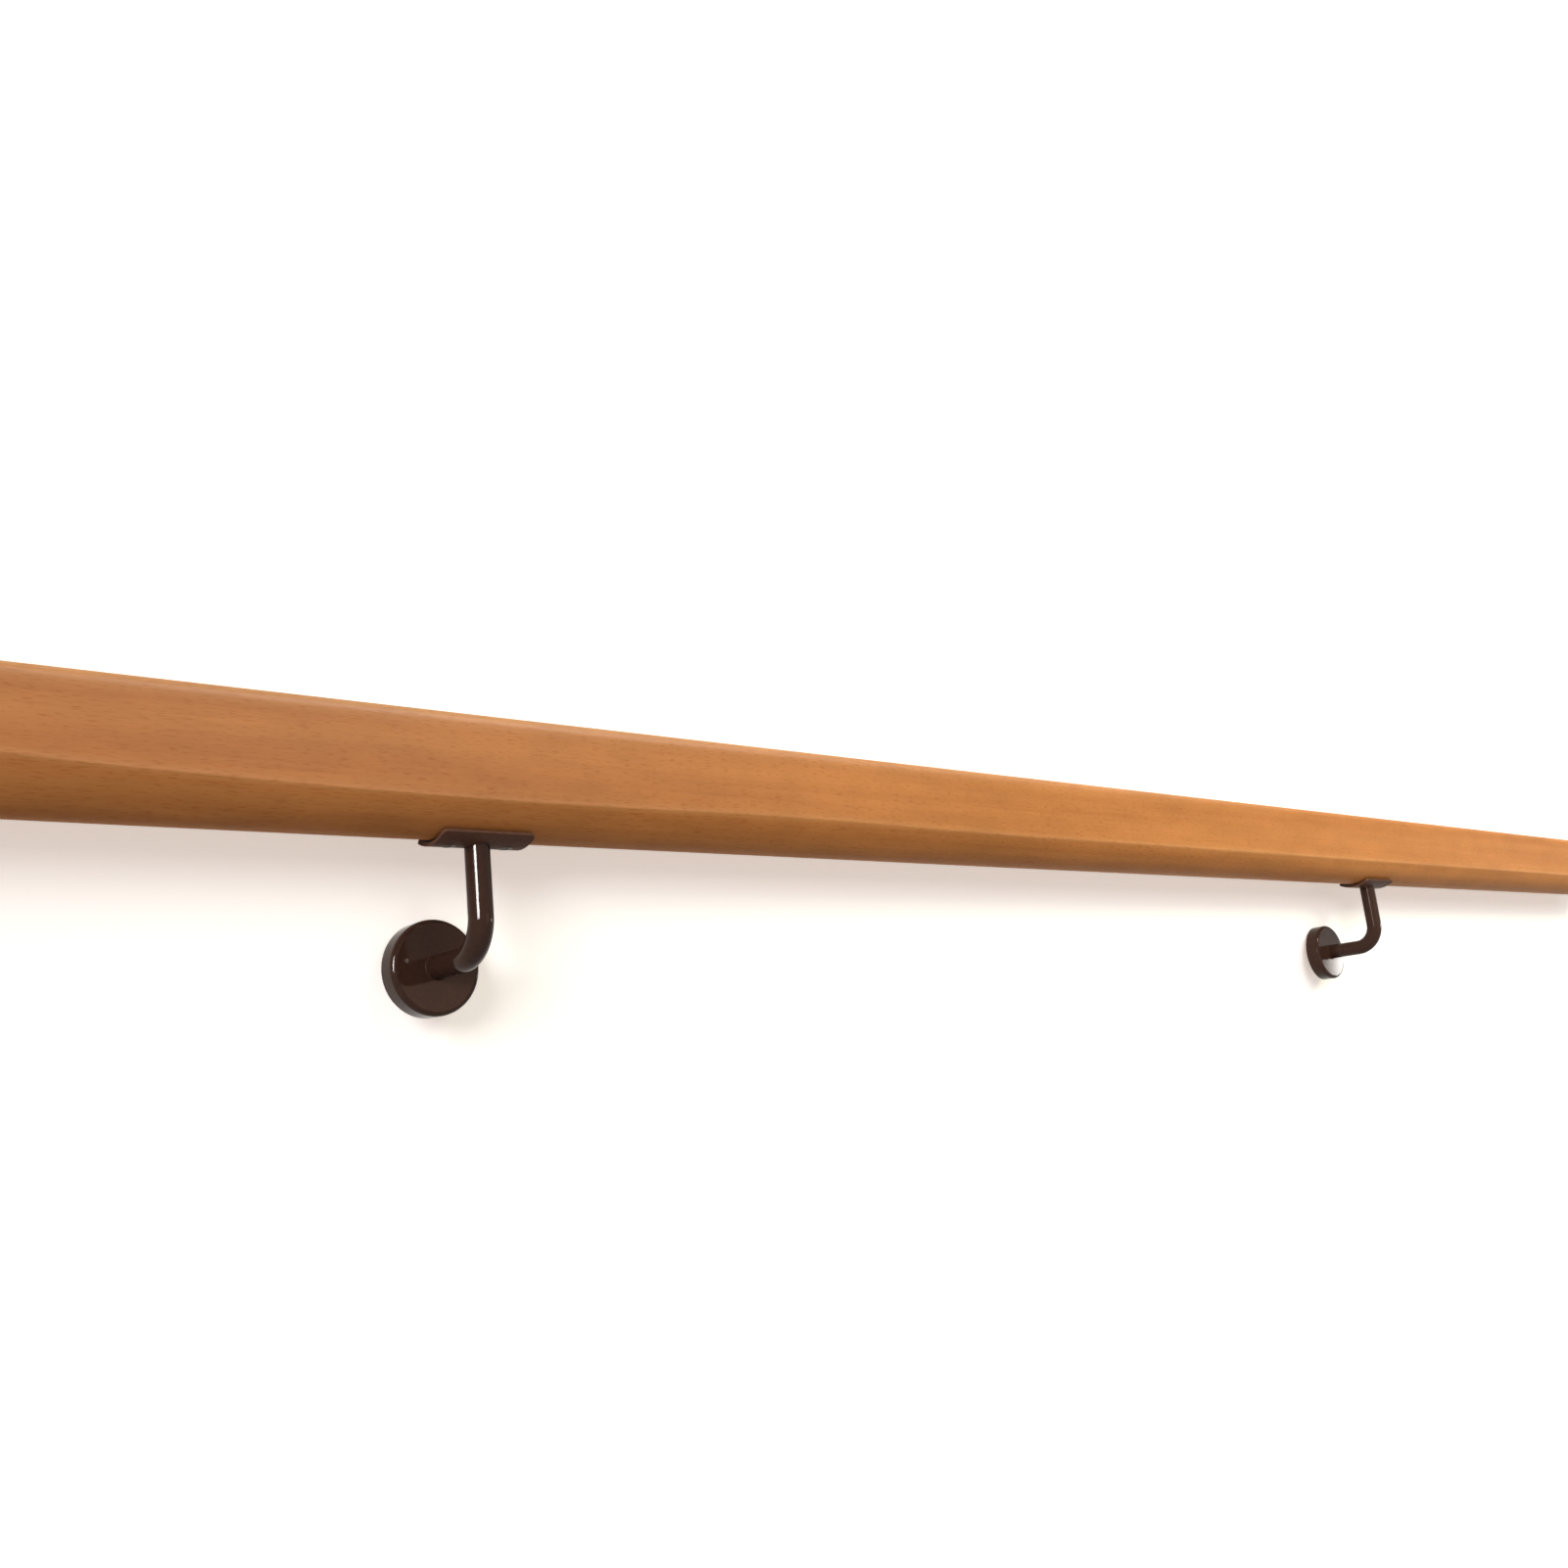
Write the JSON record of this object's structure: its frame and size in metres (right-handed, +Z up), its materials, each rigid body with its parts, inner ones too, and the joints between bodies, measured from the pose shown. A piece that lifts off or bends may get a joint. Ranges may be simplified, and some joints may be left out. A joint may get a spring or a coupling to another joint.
{
  "type": "stair handrail length",
  "caption": "Straight varnished wooden stair handrail with a rounded belly, carried on bent round-bar wall brackets with curved saddles and round cover rosettes.",
  "frame": {"origin": "on the floor, under the middle of the part's bounding box", "axes": "+X along the rail towards the right-hand bracket, +Y across the floor from the rosettes towards the rail's top, +Z up from the floor"},
  "size_m": [2, 0.1494, 0.0595],
  "materials": {
    "beech": "clear satin varnish",
    "bracket_paint": "dark brown gloss paint",
    "screw_metal": "dark brown gloss paint"
  },
  "bodies": {
    "root": {"handrail": "beech", "left_saddle": "bracket_paint", "left_stem": "bracket_paint", "left_rosette": "bracket_paint", "left_screw_outer": "screw_metal", "left_screw_inner": "screw_metal", "right_saddle": "bracket_paint", "right_stem": "bracket_paint", "right_rosette": "bracket_paint", "right_screw_outer": "screw_metal", "right_screw_inner": "screw_metal"}
  },
  "joints": []
}
